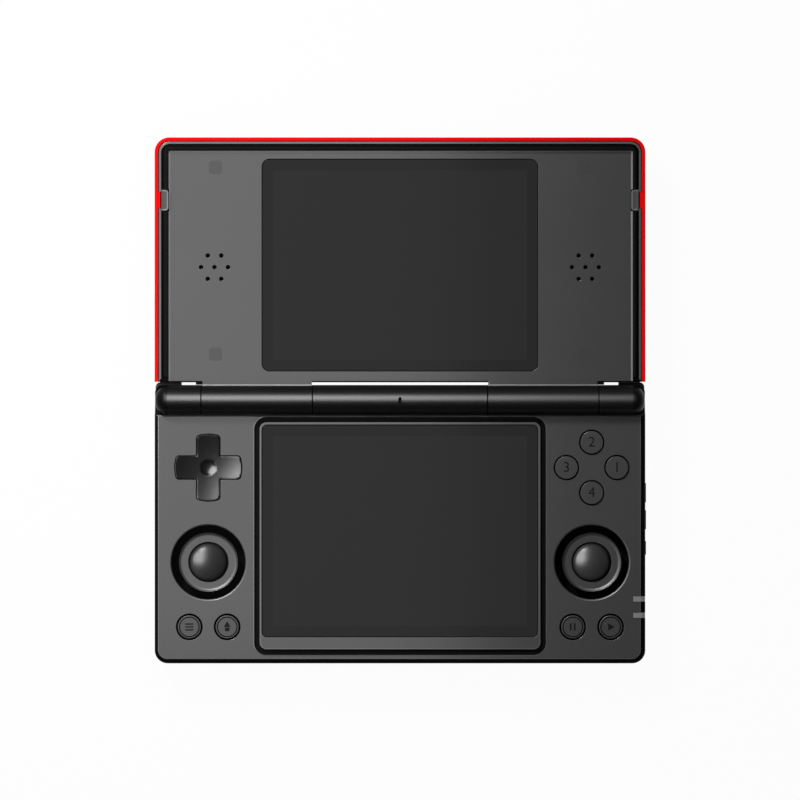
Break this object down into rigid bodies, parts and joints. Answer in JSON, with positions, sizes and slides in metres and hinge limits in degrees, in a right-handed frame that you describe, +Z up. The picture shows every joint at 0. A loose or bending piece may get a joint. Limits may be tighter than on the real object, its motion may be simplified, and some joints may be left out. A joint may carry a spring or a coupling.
{
  "type": "handheld game console",
  "caption": "Clamshell handheld game with a screen in each half, thumb sticks, direction pad and buttons; the lid turns on a barrel hinge and lies open flat.",
  "frame": {"origin": "on the table under the middle of the hinge axis", "axes": "+X to the player's right along the hinge, +Y from the player to the far edge of the open lid, +Z up"},
  "size_m": [0.1603, 0.1714, 0.0179],
  "materials": {
    "deck_grey": "fine satin grey",
    "tray_black": "matt black",
    "shell_red": "red satin",
    "barrel_black": "gloss black",
    "screen_glass": "dark polished",
    "display_panel": "unlit panel",
    "board_green": "solder mask",
    "battery_foil": "foil pouch",
    "steel": "plain",
    "black_rubber": "matt",
    "grey_rubber": "matt",
    "key_black": "satin black",
    "button_grey": "satin grey",
    "smoke_plastic": "smoked"
  },
  "bodies": {
    "base": {"deck_cover": "deck_grey", "base_cover": "tray_black", "lower_glass": "screen_glass", "lower_lcd": "display_panel", "main_board": "board_green", "battery": "battery_foil", "dpad_membrane": "grey_rubber", "button_membrane": "grey_rubber", "left_stick_module": "tray_black", "right_stick_module": "tray_black", "hinge_end_left": "barrel_black", "hinge_centre": "barrel_black", "hinge_end_right": "barrel_black", "hinge_shaft_left": "steel", "hinge_shaft_right": "steel", "light_guide": "smoke_plastic", "usb_socket": "steel", "front_foot": "black_rubber", "rear_foot": "black_rubber", "case_screw_1": "steel", "case_screw_2": "steel", "case_screw_3": "steel", "case_screw_4": "steel"},
    "lid": {"lid_outer_cover": "shell_red", "lid_inner_cover": "deck_grey", "upper_glass": "screen_glass", "upper_lcd": "display_panel", "left_speaker": "tray_black", "right_speaker": "tray_black", "left_rim_bumper": "grey_rubber", "right_rim_bumper": "grey_rubber", "near_left_plug": "black_rubber", "near_right_plug": "black_rubber", "far_left_plug": "black_rubber", "far_right_plug": "black_rubber", "lid_barrel_left": "barrel_black", "lid_barrel_right": "barrel_black"},
    "dpad_pivot": {"dpad_pivot": "smoke_plastic"},
    "dpad": {"dpad": "key_black"},
    "face_button_1": {"face_button_1": "button_grey"},
    "face_button_2": {"face_button_2": "button_grey"},
    "face_button_3": {"face_button_3": "button_grey"},
    "face_button_4": {"face_button_4": "button_grey"},
    "menu_button": {"menu_button": "button_grey"},
    "home_button": {"home_button": "button_grey"},
    "select_button": {"select_button": "button_grey"},
    "start_button": {"start_button": "button_grey"},
    "left_stick_rocker": {"left_stick_rocker": "smoke_plastic"},
    "left_stick_stem": {"left_stick_stem": "steel"},
    "left_stick_cap": {"left_stick_cap": "button_grey"},
    "right_stick_rocker": {"right_stick_rocker": "smoke_plastic"},
    "right_stick_stem": {"right_stick_stem": "steel"},
    "right_stick_cap": {"right_stick_cap": "button_grey"},
    "left_shoulder": {"left_shoulder": "key_black"},
    "left_trigger": {"left_trigger": "key_black"},
    "right_shoulder": {"right_shoulder": "key_black"},
    "right_trigger": {"right_trigger": "key_black"},
    "volume_rocker": {"volume_rocker": "key_black"},
    "power_key": {"power_key": "key_black"}
  },
  "joints": [
    {"name": "lid_hinge", "type": "hinge", "parent": "base", "child": "lid", "pos_m": [0, 0, 0.01315], "axis": [1, 0, 0], "range_deg": [0, 180]},
    {"name": "dpad_tilt_x", "type": "hinge", "parent": "base", "child": "dpad_pivot", "pos_m": [-0.0625, -0.02195, 0.0095], "axis": [1, 0, 0], "range_deg": [-3, 3], "stiffness_Nm_per_rad": 0.2},
    {"name": "dpad_tilt_y", "type": "hinge", "parent": "dpad_pivot", "child": "dpad", "pos_m": [-0.0625, -0.02195, 0.0095], "axis": [0, 1, 0], "range_deg": [-3, 3], "stiffness_Nm_per_rad": 0.2},
    {"name": "face_button_1_press", "type": "slide", "parent": "base", "child": "face_button_1", "axis": [0, 0, -1], "range_m": [0, 0.001], "stiffness_N_per_m": 600},
    {"name": "face_button_2_press", "type": "slide", "parent": "base", "child": "face_button_2", "axis": [0, 0, -1], "range_m": [0, 0.001], "stiffness_N_per_m": 600},
    {"name": "face_button_3_press", "type": "slide", "parent": "base", "child": "face_button_3", "axis": [0, 0, -1], "range_m": [0, 0.001], "stiffness_N_per_m": 600},
    {"name": "face_button_4_press", "type": "slide", "parent": "base", "child": "face_button_4", "axis": [0, 0, -1], "range_m": [0, 0.001], "stiffness_N_per_m": 600},
    {"name": "menu_button_press", "type": "slide", "parent": "base", "child": "menu_button", "axis": [0, 0, -1], "range_m": [0, 0.0006], "stiffness_N_per_m": 900},
    {"name": "home_button_press", "type": "slide", "parent": "base", "child": "home_button", "axis": [0, 0, -1], "range_m": [0, 0.0006], "stiffness_N_per_m": 900},
    {"name": "select_button_press", "type": "slide", "parent": "base", "child": "select_button", "axis": [0, 0, -1], "range_m": [0, 0.0006], "stiffness_N_per_m": 900},
    {"name": "start_button_press", "type": "slide", "parent": "base", "child": "start_button", "axis": [0, 0, -1], "range_m": [0, 0.0006], "stiffness_N_per_m": 900},
    {"name": "left_stick_tilt_x", "type": "hinge", "parent": "base", "child": "left_stick_rocker", "pos_m": [-0.0625, -0.0528, 0.0054], "axis": [1, 0, 0], "range_deg": [-12, 12], "stiffness_Nm_per_rad": 0.03},
    {"name": "left_stick_tilt_y", "type": "hinge", "parent": "left_stick_rocker", "child": "left_stick_stem", "pos_m": [-0.0625, -0.0528, 0.0054], "axis": [0, 1, 0], "range_deg": [-12, 12], "stiffness_Nm_per_rad": 0.03},
    {"name": "left_stick_click", "type": "slide", "parent": "left_stick_stem", "child": "left_stick_cap", "axis": [0, 0, -1], "range_m": [0, 0.0004], "stiffness_N_per_m": 3000},
    {"name": "right_stick_tilt_x", "type": "hinge", "parent": "base", "child": "right_stick_rocker", "pos_m": [0.0625, -0.0528, 0.0054], "axis": [1, 0, 0], "range_deg": [-12, 12], "stiffness_Nm_per_rad": 0.03},
    {"name": "right_stick_tilt_y", "type": "hinge", "parent": "right_stick_rocker", "child": "right_stick_stem", "pos_m": [0.0625, -0.0528, 0.0054], "axis": [0, 1, 0], "range_deg": [-12, 12], "stiffness_Nm_per_rad": 0.03},
    {"name": "right_stick_click", "type": "slide", "parent": "right_stick_stem", "child": "right_stick_cap", "axis": [0, 0, -1], "range_m": [0, 0.0004], "stiffness_N_per_m": 3000},
    {"name": "left_shoulder_press", "type": "slide", "parent": "base", "child": "left_shoulder", "axis": [0, -1, 0], "range_m": [0, 0.0008], "stiffness_N_per_m": 900},
    {"name": "left_trigger_press", "type": "slide", "parent": "base", "child": "left_trigger", "axis": [0, -1, 0], "range_m": [0, 0.0008], "stiffness_N_per_m": 900},
    {"name": "right_shoulder_press", "type": "slide", "parent": "base", "child": "right_shoulder", "axis": [0, -1, 0], "range_m": [0, 0.0008], "stiffness_N_per_m": 900},
    {"name": "right_trigger_press", "type": "slide", "parent": "base", "child": "right_trigger", "axis": [0, -1, 0], "range_m": [0, 0.0008], "stiffness_N_per_m": 900},
    {"name": "volume_tilt", "type": "hinge", "parent": "base", "child": "volume_rocker", "pos_m": [0.07748, -0.0346, 0.0093], "axis": [0, 0, 1], "range_deg": [-1.5, 1.5], "stiffness_Nm_per_rad": 0.3},
    {"name": "power_press", "type": "slide", "parent": "base", "child": "power_key", "axis": [-1, 0, 0], "range_m": [0, 0.0003], "stiffness_N_per_m": 1500}
  ]
}
